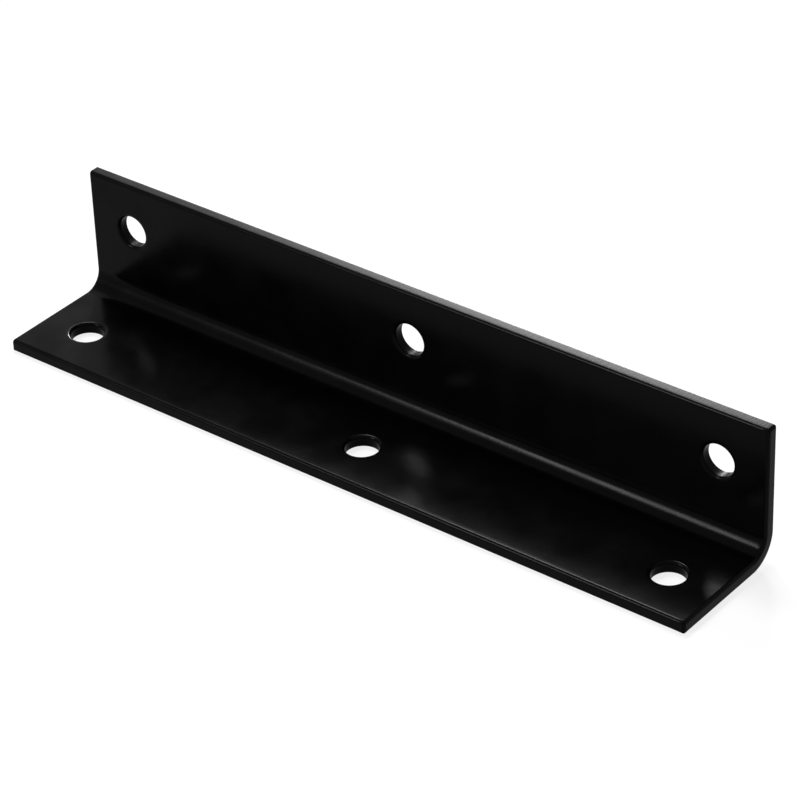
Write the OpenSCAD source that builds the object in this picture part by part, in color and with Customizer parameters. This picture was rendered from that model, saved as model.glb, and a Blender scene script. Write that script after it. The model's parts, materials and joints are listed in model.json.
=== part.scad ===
// Angle bracket folded from one strip of sheet steel, in millimetres.
// It lies on its base leg, and the upright leg stands along the back.
// X runs along the fold, Y from the front edge to the back face and Z up.
// The origin is on the underside, below the middle of the outline.

/* [Legs] */
// Length along the fold
length = 200; // [120:1:320]
// Height of the upright leg, from the underside to its top edge
upright_h = 35.7; // [32:0.1:60]
// Depth of the base leg, from the back face to its front edge
base_d = 35.1; // [32:0.1:60]

/* [Sheet] */
// Thickness of the sheet
sheet_t = 3; // [2:0.1:5]
// Radius inside the fold
fold_r = 4.7; // [2:0.1:8]
// Radius of the strip's four corners, in the plane of the sheet
corner_r = 0.8; // [0.3:0.1:4]
// Radius that shearing draws onto the strip's edges, on the inner faces
edge_roll = 0.9; // [0.3:0.05:1.2]
// Radius that is left on the strip's edges, on the outer faces
edge_break = 0.25; // [0.1:0.05:0.6]

/* [Holes] */
// Number of holes in each leg
holes_per_leg = 3; // [2:1:5]
// Diameter of every hole
hole_d = 8.3; // [4:0.1:11]
// From each end to the centre of the nearest hole
end_inset = 13.2; // [9:0.1:20]
// From the top edge to the centres of the upright leg's holes
upright_inset = 13.2; // [9:0.1:15]
// From the front edge to the centres of the base leg's holes
base_inset = 13.4; // [9:0.1:15]
// Radius that the punch draws onto the rim of a hole, on the inner face
rim_roll = 0.75; // [0.2:0.05:0.9]
// Radius that is left on the rim of a hole, on the outer face
rim_break = 0.4; // [0.1:0.05:0.6]

/* [Hidden] */
$fn = 64;
end_x = length / 2;
back_y = base_d / 2;
fold_outer_r = fold_r + sheet_t;
fold_y = back_y - fold_outer_r;
hole_pitch = (length - 2 * end_inset) / (holes_per_leg - 1);
clear = 1;

// What rounding takes off a square edge of radius r. The edge is at the
// origin and the metal fills the quarter below and to the left of it.
module edge_waste(r) {
    difference() {
        translate([-r, -r]) square(r + clear);
        translate([-r, -r]) circle(r);
    }
}

// Section of the fold: base leg to the left, quarter ring, upright leg
module sheet_section() {
    difference() {
        union() {
            translate([-back_y, 0]) square([base_d - fold_outer_r, sheet_t]);
            translate([back_y - sheet_t, fold_outer_r])
                square([sheet_t, upright_h - fold_outer_r]);
            translate([fold_y, fold_outer_r]) difference() {
                circle(fold_outer_r);
                circle(fold_r);
                translate([-2 * fold_outer_r, -2 * fold_outer_r])
                    square([2 * fold_outer_r, 4 * fold_outer_r]);
                translate([-2 * fold_outer_r, 0])
                    square([4 * fold_outer_r, 2 * fold_outer_r]);
            }
        }
        translate([-back_y, sheet_t]) mirror([1, 0]) edge_waste(edge_roll);
        translate([-back_y, 0]) rotate(180) edge_waste(edge_break);
        translate([back_y - sheet_t, upright_h]) mirror([1, 0]) edge_waste(edge_roll);
        translate([back_y, upright_h]) edge_waste(edge_break);
    }
}

// Folded strip with its two long edges rounded and its ends still square
module folded_strip() {
    rotate([90, 0, 90]) linear_extrude(length, center = true) sheet_section();
}

// Waste along the end of the base leg, for a radius r on its upper or lower edge
module base_end_waste(r, z, upper) {
    translate([end_x, fold_y, z]) mirror([0, 0, upper ? 0 : 1])
        rotate([90, 0, 0]) linear_extrude(base_d) edge_waste(r);
}

// Waste along the end of the upright leg, for a radius r on its front or back edge
module upright_end_waste(r, y, front) {
    translate([end_x, y, fold_outer_r]) mirror([0, front ? 1 : 0, 0])
        linear_extrude(upright_h) edge_waste(r);
}

// Waste round the end of the fold, for a radius r on the edge of its inner or outer face
module fold_end_waste(r, face_r, inner) {
    translate([0, fold_y, fold_outer_r]) rotate([0, 90, 0])
        rotate_extrude(angle = 90)
            translate([face_r, end_x]) mirror([inner ? 1 : 0, 0]) edge_waste(r);
}

module end_waste() {
    base_end_waste(edge_roll, sheet_t, true);
    base_end_waste(edge_break, 0, false);
    upright_end_waste(edge_roll, back_y - sheet_t, true);
    upright_end_waste(edge_break, back_y, false);
    fold_end_waste(edge_roll, fold_r, true);
    fold_end_waste(edge_break, fold_outer_r, false);
    // corner of the base leg, then of the upright leg
    translate([end_x, -back_y, -clear]) mirror([0, 1, 0])
        linear_extrude(sheet_t + 2 * clear) edge_waste(corner_r);
    translate([end_x, back_y + clear, upright_h]) rotate([90, 0, 0])
        linear_extrude(sheet_t + 2 * clear) edge_waste(corner_r);
}

// Punch for one hole, along +Z from the outer face to the inner face at sheet_t
module punch() {
    rotate_extrude() difference() {
        translate([0, -clear]) square([hole_d / 2 + rim_roll + rim_break, sheet_t + 2 * clear]);
        punch_wall();
    }
}

// The metal that the punch leaves standing beside a hole, with both rims rounded
module punch_wall() {
    difference() {
        translate([hole_d / 2, 0]) square([hole_d, sheet_t]);
        translate([hole_d / 2, sheet_t]) mirror([1, 0]) edge_waste(rim_roll);
        translate([hole_d / 2, 0]) rotate(180) edge_waste(rim_break);
    }
}

module bracket() {
    color([0.03, 0.03, 0.03]) difference() {
        folded_strip();
        end_waste();
        mirror([1, 0, 0]) end_waste();
        for (i = [0 : holes_per_leg - 1]) {
            translate([i * hole_pitch - end_x + end_inset, base_inset - back_y, 0]) punch();
            translate([i * hole_pitch - end_x + end_inset, back_y, upright_h - upright_inset])
                rotate([90, 0, 0]) punch();
        }
    }
}

bracket();
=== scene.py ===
import json
from math import hypot, pi, radians

import bmesh
import bpy
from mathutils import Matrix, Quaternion, Vector


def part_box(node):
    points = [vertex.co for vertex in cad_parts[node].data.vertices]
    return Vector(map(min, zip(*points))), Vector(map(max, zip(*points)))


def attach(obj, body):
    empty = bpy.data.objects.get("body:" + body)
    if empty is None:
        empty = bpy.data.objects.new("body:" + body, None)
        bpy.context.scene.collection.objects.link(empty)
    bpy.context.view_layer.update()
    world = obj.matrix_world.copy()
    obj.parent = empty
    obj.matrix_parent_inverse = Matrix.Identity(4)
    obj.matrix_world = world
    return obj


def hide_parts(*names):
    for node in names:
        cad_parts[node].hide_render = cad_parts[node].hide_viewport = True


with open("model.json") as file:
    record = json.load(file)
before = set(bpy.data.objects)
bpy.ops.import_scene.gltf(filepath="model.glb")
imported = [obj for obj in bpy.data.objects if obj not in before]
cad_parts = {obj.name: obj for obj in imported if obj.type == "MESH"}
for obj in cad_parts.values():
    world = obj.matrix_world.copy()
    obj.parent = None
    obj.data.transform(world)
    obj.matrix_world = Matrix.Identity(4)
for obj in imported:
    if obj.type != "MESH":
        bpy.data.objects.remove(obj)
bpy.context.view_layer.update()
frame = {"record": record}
mm = 0.001

low, high = (Vector(corner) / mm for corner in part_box("bracket"))  # the piece is modelled in millimetres
mounts = {mount["name"]: mount for mount in frame["record"]["mounts"]}


# The folded strip, in millimetres and degrees. Outline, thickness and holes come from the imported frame

strip = {
    "foldRadius": 4.7,     # inside the fold
    "foldSteps": 24,
    "edgeRoll": 0.9,       # drawn onto the inner edges of the strip by the shear
    "edgeBreak": 0.25,     # left on the outer edges of the strip
    "cornerRadius": 0.8,   # in the plane of the sheet
    "rimRoll": 0.75,       # drawn onto the inner rim of a hole by the punch
    "rimBreak": 0.4,       # left on the outer rim
    "rimBand": 1.4,        # flat ring round a hole that carries the rim's rounding
    "rimSides": 64,        # a multiple of 4
    "ringLift": 1,         # height that a ring is bridged from, before the leg is flattened
    "plainCuts": 5,        # cuts across the plain metal between two holes
    "roundSteps": 6,       # segments in each rounded edge
    "sharpAngle": 60,      # an edge of the thick sheet that turns less than this stays as it is
    "smoothAngle": 40,     # faces that turn less than this are shaded as one surface
    "flatWeight": 100,     # how far broad faces rule that shading, from 1 to 100
}

sheetThickness = mounts["base_inner_face"]["pos_m"][2] / mm
holeRadius = mounts["base_middle_hole"]["dims"]["r_mm"]
holePitch = mounts["base_end_holes"]["dims"]["spacing_x_mm"] / 2
baseHoleY = mounts["base_middle_hole"]["pos_m"][1] / mm
uprightHoleZ = mounts["upright_middle_hole"]["pos_m"][2] / mm
halfCell = high.x - holePitch  # an end hole is this far from the end of the strip
foldY = high.y - sheetThickness - strip["foldRadius"]  # axis of the fold
foldZ = sheetThickness + strip["foldRadius"]
near = 0.001  # two places this close are the same


def deselectObjects():
    bpy.ops.object.select_all(action="DESELECT")


def selectWhere(obj, verts=None, edges=None):
    # selects in edit mode the points or the edges that the given test says yes to
    work = bmesh.from_edit_mesh(obj.data)
    bpy.ops.mesh.select_all(action="DESELECT")
    bpy.ops.mesh.select_mode(type="VERT" if verts else "EDGE")
    test = verts or edges
    for part in work.verts if verts else work.edges:
        if test(part):
            part.select_set(True)
    work.select_flush_mode()
    bmesh.update_edit_mesh(obj.data)


def punchCell(leg, x, run, holeRun):
    # a frame of edges as wide as the leg, which a grid leaves when its inside is deleted
    quarter = strip["rimSides"] // 4
    bpy.ops.mesh.select_all(action="DESELECT")
    bpy.ops.mesh.primitive_grid_add(x_subdivisions=quarter, y_subdivisions=quarter, size=1)
    bpy.ops.transform.resize(value=(2 * halfCell, run, 1), center_override=(0, 0, 0))
    bpy.ops.transform.translate(value=(x, run / 2, 0))

    def inside(v):
        return abs(v.co.x - x) < halfCell - near and near < v.co.y < run - near

    selectWhere(leg, verts=inside)
    bpy.ops.mesh.delete(type="VERT")
    # the punched hole, with a flat ring round its rim, bridged to the frame from a little above
    bpy.ops.mesh.primitive_circle_add(vertices=strip["rimSides"], radius=holeRadius,
                                      location=(x, holeRun, strip["ringLift"]))
    ringScale = 1 + strip["rimBand"] / holeRadius
    bpy.ops.mesh.extrude_edges_move()
    bpy.ops.transform.resize(value=(ringScale, ringScale, 1), center_override=(x, holeRun, 0))

    def frameOrRing(e):
        a, b = (v.co for v in e.verts)
        onRing = [abs(hypot(p.x - x, p.y - holeRun) - holeRadius * ringScale) < near for p in (a, b)]
        onFrame = [abs(abs(p.x - x) - halfCell) < near or min(abs(p.y), abs(p.y - run)) < near
                   for p in (a, b)]
        close = max(abs(a.x - x), abs(b.x - x)) < halfCell + near
        return all(onRing) or (all(onFrame) and close)

    selectWhere(leg, edges=frameOrRing)
    bpy.ops.mesh.bridge_edge_loops()


def makeLeg(name, run, holeRun):
    # inner face of one leg, lying flat: free edge at y 0, fold at y run, holes at y holeRun
    deselectObjects()
    bpy.ops.mesh.primitive_circle_add(vertices=3, radius=1)
    leg = bpy.context.object
    leg.name = leg.data.name = name
    bpy.ops.object.mode_set(mode="EDIT")
    bpy.ops.mesh.select_all(action="SELECT")
    bpy.ops.mesh.delete(type="VERT")  # leaves an empty mesh to work in
    for x in (-holePitch, 0, holePitch):
        punchCell(leg, x, run, holeRun)
    # plain metal between the holes
    gap = holePitch / 2 - halfCell  # half its length
    for x in (-holePitch / 2, holePitch / 2):
        selectWhere(leg, edges=lambda e: all(abs(abs(v.co.x - x) - gap) < near for v in e.verts))
        bpy.ops.mesh.bridge_edge_loops(number_cuts=strip["plainCuts"])
    # flattened
    bpy.ops.mesh.select_all(action="SELECT")
    bpy.ops.transform.resize(value=(1, 1, 0), center_override=(0, 0, 0))
    bpy.ops.mesh.remove_doubles(threshold=near)
    bpy.ops.object.mode_set(mode="OBJECT")
    return leg


def placeLeg(leg, place, turn):
    deselectObjects()
    leg.select_set(True)
    bpy.context.view_layer.objects.active = leg
    leg.location, leg.rotation_euler = place, turn
    bpy.ops.object.transform_apply(location=True, rotation=True, scale=True)


def depthInSheet(p):
    # 0 on the inner faces of the legs and the fold, the sheet's thickness on the outer ones
    return hypot(max(p.y - foldY, 0), max(foldZ - p.z, 0)) - strip["foldRadius"]


def onOutline(p):
    return high.x - abs(p.x) < near or p.y - low.y < near or high.z - p.z < near


def roundingOf(edge):
    # radius that an edge of the thick sheet gets, or 0 where it stays as it is
    a, b = (v.co for v in edge.verts)
    inner = [depthInSheet(p) < sheetThickness / 2 for p in (a, b)]
    if edge.calc_face_angle(0) < radians(strip["sharpAngle"]):
        return 0
    if inner[0] != inner[1]:
        return strip["cornerRadius"]
    if onOutline(a) and onOutline(b):
        return strip["edgeRoll"] if inner[0] else strip["edgeBreak"]
    return strip["rimRoll"] if inner[0] else strip["rimBreak"]


def foldBlank():
    # the inner faces of both legs, with the fold between them
    baseRun, uprightRun = foldY - low.y, high.z - foldZ
    bracket = makeLeg("foldedBracket", baseRun, baseHoleY - low.y)
    placeLeg(bracket, (0, low.y, sheetThickness), (0, 0, 0))
    upright = makeLeg("uprightLeg", uprightRun, high.z - uprightHoleZ)
    placeLeg(upright, (0, high.y - sheetThickness, high.z), (radians(-90), 0, 0))
    # the fold, turned up from the back edge of the base leg
    deselectObjects()
    bracket.select_set(True)
    bpy.context.view_layer.objects.active = bracket
    bpy.ops.object.mode_set(mode="EDIT")
    selectWhere(bracket, edges=lambda e: all(abs(v.co.y - foldY) < near for v in e.verts))
    bpy.ops.mesh.spin(steps=strip["foldSteps"], angle=radians(90), center=(0, foldY, foldZ), axis=(-1, 0, 0))
    bpy.ops.object.mode_set(mode="OBJECT")
    upright.select_set(True)
    bpy.ops.object.join()
    bpy.ops.object.mode_set(mode="EDIT")
    bpy.ops.mesh.select_all(action="SELECT")
    bpy.ops.mesh.remove_doubles(threshold=near)
    bpy.ops.mesh.normals_make_consistent(inside=False)
    bpy.ops.object.mode_set(mode="OBJECT")
    # an open sheet has no outside, so its faces are turned to look into the corner
    baseFace = min(bracket.data.polygons, key=lambda face: face.center.z + face.center.y)
    if baseFace.normal.z < 0:
        bracket.data.flip_normals()
    print("blank folded:", len(bracket.data.polygons), "faces")
    return bracket


def makeBracket():
    bracket = foldBlank()
    # thickness, grown away from the inner faces
    thick = bracket.modifiers.new("sheet", "SOLIDIFY")
    thick.thickness, thick.offset = sheetThickness, -1
    thick.use_even_offset = True
    bpy.ops.object.modifier_apply(modifier=thick.name)
    # every sharp edge is rounded by its own radius
    work = bmesh.new()
    work.from_mesh(bracket.data)
    weight = work.edges.layers.float.new("bevel_weight_edge")
    for edge in work.edges:
        edge[weight] = roundingOf(edge) / strip["edgeRoll"]
    work.to_mesh(bracket.data)
    work.free()
    rounding = bracket.modifiers.new("rounding", "BEVEL")
    rounding.limit_method = "WEIGHT"
    rounding.width, rounding.segments = strip["edgeRoll"], strip["roundSteps"]
    rounding.use_clamp_overlap = False
    bpy.ops.object.modifier_apply(modifier=rounding.name)
    # metres, and shading that keeps the broad faces flat
    bracket.scale = (mm, mm, mm)
    bpy.ops.object.transform_apply(location=True, rotation=True, scale=True)
    bpy.ops.object.shade_smooth_by_angle(angle=radians(strip["smoothAngle"]))
    flat = bracket.modifiers.new("flat", "WEIGHTED_NORMAL")
    flat.mode, flat.weight, flat.keep_sharp = "FACE_AREA", strip["flatWeight"], True
    bpy.ops.object.modifier_apply(modifier=flat.name)
    print("bracket:", len(bracket.data.polygons), "faces")
    return bracket


# Black coat, baked on over smooth rolled faces and rougher cut edges

coat = {
    "colour": (0.0007, 0.0007, 0.0008, 1),
    "paleColour": (0.0014, 0.0014, 0.0015, 1),  # where the film lies a little thinner
    "gloss": 0.035,                # specular level, low because the surroundings are white
    "roughness": (0.18, 0.22),     # where the film is thick and thin
    "mottle": (120, 4),            # patches per metre, and layers of finer detail in them
    "mottleRange": (0.35, 0.65),   # part of the pattern that goes from thick film to thin
    "peel": (900, 2),              # orange peel, in the same units
    "peelDepth": 0.009 * mm,
    "marks": (2600, 3),            # shear marks across the cut, in the same units
    "markDepth": 0.025 * mm,
    "cutRoughness": 0.12,          # added where the sheet was cut
    "cutStart": 0.1,               # millimetres below the inner face, where the cut begins to show
    "cutEnd": (0.3, 0.02),         # millimetres from the outer face, between which it fades out
}

# sockets of a Mix node for colours, which it names like those of its other kinds
mixFactor, mixFirst, mixSecond, mixResult = 0, 6, 7, 2


def nodeMath(tree, operation, a, b=0):
    node = tree.nodes.new("ShaderNodeMath")
    node.operation = operation
    for socket, value in zip(node.inputs, (a, b)):
        if isinstance(value, (int, float)):
            socket.default_value = value
        else:
            tree.links.new(value, socket)
    return node.outputs[0]


def nodeRange(tree, value, fromMin, fromMax, toMin, toMax):
    node = tree.nodes.new("ShaderNodeMapRange")
    for name, number in (("From Min", fromMin), ("From Max", fromMax), ("To Min", toMin), ("To Max", toMax)):
        node.inputs[name].default_value = number
    tree.links.new(value, node.inputs["Value"])
    return node.outputs["Result"]


def nodeNoise(tree, place, scale, detail):
    node = tree.nodes.new("ShaderNodeTexNoise")
    node.inputs["Scale"].default_value = scale
    node.inputs["Detail"].default_value = detail
    tree.links.new(place, node.inputs["Vector"])
    return node.outputs["Fac"]


def makeCutGroup():
    # where the sheet was cut, and the shear marks that run through its thickness there
    group = bpy.data.node_groups.new("cutEdge", "ShaderNodeTree")
    group.interface.new_socket("Place", in_out="INPUT", socket_type="NodeSocketVector")
    group.interface.new_socket("Cut", in_out="OUTPUT", socket_type="NodeSocketFloat")
    group.interface.new_socket("Marks", in_out="OUTPUT", socket_type="NodeSocketFloat")
    given, result = group.nodes.new("NodeGroupInput"), group.nodes.new("NodeGroupOutput")
    split = group.nodes.new("ShaderNodeSeparateXYZ")
    group.links.new(given.outputs["Place"], split.inputs[0])
    x, y, z = split.outputs
    # how far behind and below the fold's axis, and so how deep in the sheet
    behind = nodeMath(group, "MAXIMUM", nodeMath(group, "SUBTRACT", y, foldY * mm), 0)
    below = nodeMath(group, "MAXIMUM", nodeMath(group, "SUBTRACT", foldZ * mm, z), 0)
    squares = [nodeMath(group, "MULTIPLY", side, side) for side in (behind, below)]
    reach = nodeMath(group, "SQRT", nodeMath(group, "ADD", *squares))
    depth = nodeMath(group, "SUBTRACT", reach, strip["foldRadius"] * mm)
    fromInner = nodeRange(group, depth, coat["cutStart"] * mm, strip["edgeRoll"] * mm, 0, 1)
    fadeStart, fadeEnd = ((sheetThickness - left) * mm for left in coat["cutEnd"])
    fromOuter = nodeRange(group, depth, fadeEnd, fadeStart, 0, 1)
    cut = nodeMath(group, "MULTIPLY", fromInner, fromOuter)
    group.links.new(cut, result.inputs["Cut"])
    # along the strip's profile only, so that a mark goes straight through the sheet
    turn = nodeMath(group, "MULTIPLY", nodeMath(group, "ARCTAN2", behind, below), foldZ * mm)
    along = nodeMath(group, "ADD", nodeMath(group, "MINIMUM", y, foldY * mm), turn)
    up = nodeMath(group, "MAXIMUM", z, foldZ * mm)
    join = group.nodes.new("ShaderNodeCombineXYZ")
    for value, socket in zip((x, along, up), join.inputs):
        group.links.new(value, socket)
    marks = nodeNoise(group, join.outputs[0], *coat["marks"])
    group.links.new(nodeMath(group, "MULTIPLY", marks, cut), result.inputs["Marks"])
    return group


def makeCoat():
    mat = bpy.data.materials.new("blackCoat")
    mat.use_nodes = True
    tree = mat.node_tree
    shader = tree.nodes["Principled BSDF"]
    shader.inputs["Specular IOR Level"].default_value = coat["gloss"]
    place = tree.nodes.new("ShaderNodeTexCoord").outputs["Object"]
    cutEdge = tree.nodes.new("ShaderNodeGroup")
    cutEdge.node_tree = makeCutGroup()
    tree.links.new(place, cutEdge.inputs["Place"])
    mottle = nodeNoise(tree, place, *coat["mottle"])
    # film thickness
    shade = tree.nodes.new("ShaderNodeMix")
    shade.data_type = "RGBA"
    shade.inputs[mixFirst].default_value = coat["colour"]
    shade.inputs[mixSecond].default_value = coat["paleColour"]
    tree.links.new(nodeRange(tree, mottle, *coat["mottleRange"], 0, 1), shade.inputs[mixFactor])
    tree.links.new(shade.outputs[mixResult], shader.inputs["Base Color"])
    # gloss
    smooth = nodeRange(tree, mottle, *coat["mottleRange"], *coat["roughness"])
    rough = nodeMath(tree, "MULTIPLY", cutEdge.outputs["Cut"], coat["cutRoughness"])
    tree.links.new(nodeMath(tree, "ADD", smooth, rough), shader.inputs["Roughness"])
    # orange peel and shear marks, as heights in metres
    peel = nodeMath(tree, "MULTIPLY", nodeNoise(tree, place, *coat["peel"]), coat["peelDepth"])
    marks = nodeMath(tree, "MULTIPLY", cutEdge.outputs["Marks"], coat["markDepth"])
    bump = tree.nodes.new("ShaderNodeBump")
    bump.inputs["Distance"].default_value = 1
    tree.links.new(nodeMath(tree, "ADD", peel, marks), bump.inputs["Height"])
    tree.links.new(bump.outputs["Normal"], shader.inputs["Normal"])
    print("coat:", len(tree.nodes), "nodes")
    return mat


bracket = makeBracket()
bracket.data.materials.append(makeCoat())
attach(bracket, "root")
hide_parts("bracket")


# Camera of the photograph, in metres: a long lens to the right and above, turned a little on its axis

view = {
    "place": (443.41 * mm, -533.24 * mm, 468.68 * mm),
    "aim": (6.459 * mm, 2.599 * mm, 14.701 * mm),
    "roll": -2.183,            # degrees about the lens's axis
    "lens": 159.99,            # millimetres
    "sensor": 36,              # its width, in millimetres too
    "clip": (0.05, 50),        # nearest and farthest that it sees
}


def makeCamera():
    data = bpy.data.cameras.new("camera")
    data.sensor_width, data.lens = view["sensor"], view["lens"]
    data.clip_start, data.clip_end = view["clip"]
    camera = bpy.data.objects.new("camera", data)
    bpy.context.scene.collection.objects.link(camera)
    place, aim = Vector(view["place"]), Vector(view["aim"])
    camera.location = place
    camera.rotation_mode = "QUATERNION"
    turn = (aim - place).to_track_quat("-Z", "Y")
    camera.rotation_quaternion = turn @ Quaternion((0, 0, 1), radians(view["roll"]))
    bpy.context.scene.camera = camera
    print("camera placed")


# Studio, in metres: pale floor, white surroundings and four soft boxes

studio = {
    "floorSize": 12.0,
    "floorDrop": 0.05 * mm,        # hairline gap under the bracket
    "floorColour": (0.9, 0.9, 0.9, 1),
    "floorWhite": 0.82,            # share of plain white in the floor where it is looked at
    "whiteFrom": (0.10, 0.30),     # between these distances that share grows to all of it
    "surroundings": (1, 1, 1, 1),
    "fill": 0.12,                  # light from all round
    "boxAim": (0, 0, 0.02),
    "boxes": (
        # name, place, width, height, turn in its own plane in degrees, brightness
        ("lowBox", (-0.705, 1.11, 0.515), 0.26, 0.25, 0, 122),
        ("midBox", (-0.57, 0.82, 1.00), 0.32, 0.35, 0, 15),
        ("topBox", (-0.63, 0.47, 1.24), 0.36, 0.28, 0, 58),
        ("frontBox", (-0.59, -1.02, 0.73), 0.18, 0.50, -10, 38),
    ),
}


def lookedAt(tree):
    # 1 for what the camera, a reflection or a glass sees, 0 for light that falls on a surface
    path = tree.nodes.new("ShaderNodeLightPath")
    seen = nodeMath(tree, "MAXIMUM", path.outputs["Is Camera Ray"], path.outputs["Is Glossy Ray"])
    return nodeMath(tree, "MAXIMUM", seen, path.outputs["Is Transmission Ray"])


def makeWorld():
    world = bpy.data.worlds.new("studio")
    bpy.context.scene.world = world
    world.use_nodes = True
    tree = world.node_tree
    background = tree.nodes["Background"]
    background.inputs["Color"].default_value = studio["surroundings"]
    level = nodeRange(tree, lookedAt(tree), 0, 1, studio["fill"], 1)
    tree.links.new(level, background.inputs["Strength"])


def makeFloor():
    deselectObjects()
    bpy.ops.mesh.primitive_plane_add(size=studio["floorSize"], location=(0, 0, -studio["floorDrop"]))
    floor = bpy.context.object
    floor.name = "floor"
    mat = bpy.data.materials.new("paleFloor")
    mat.use_nodes = True
    tree = mat.node_tree
    shader = tree.nodes["Principled BSDF"]
    shader.inputs["Base Color"].default_value = studio["floorColour"]
    shader.inputs["Roughness"].default_value = 1
    shader.inputs["Specular IOR Level"].default_value = 0
    # plain white where it is looked at, less so round the bracket, which keeps its shadow
    place = tree.nodes.new("ShaderNodeTexCoord")
    distance = tree.nodes.new("ShaderNodeVectorMath")
    distance.operation = "LENGTH"
    tree.links.new(place.outputs["Object"], distance.inputs[0])
    share = nodeRange(tree, distance.outputs["Value"], *studio["whiteFrom"], studio["floorWhite"], 1)
    white = tree.nodes.new("ShaderNodeEmission")
    blend = tree.nodes.new("ShaderNodeMixShader")
    tree.links.new(nodeMath(tree, "MULTIPLY", lookedAt(tree), share), blend.inputs[0])
    tree.links.new(shader.outputs[0], blend.inputs[1])
    tree.links.new(white.outputs[0], blend.inputs[2])
    tree.links.new(blend.outputs[0], tree.nodes["Material Output"].inputs["Surface"])
    floor.data.materials.append(mat)


def makeBoxes():
    for name, place, width, height, turn, brightness in studio["boxes"]:
        data = bpy.data.lights.new(name, "AREA")
        data.shape, data.size, data.size_y = "RECTANGLE", width, height
        data.energy = brightness * pi * width * height  # in watts
        box = bpy.data.objects.new(name, data)
        bpy.context.scene.collection.objects.link(box)
        box.location = place
        box.rotation_mode = "QUATERNION"
        facing = (Vector(studio["boxAim"]) - Vector(place)).to_track_quat("-Z", "Y")
        box.rotation_quaternion = facing @ Quaternion((0, 0, 1), radians(turn))


makeCamera()
makeWorld()
makeFloor()
makeBoxes()
bpy.context.scene.view_settings.view_transform = "Standard"
print("studio lit")
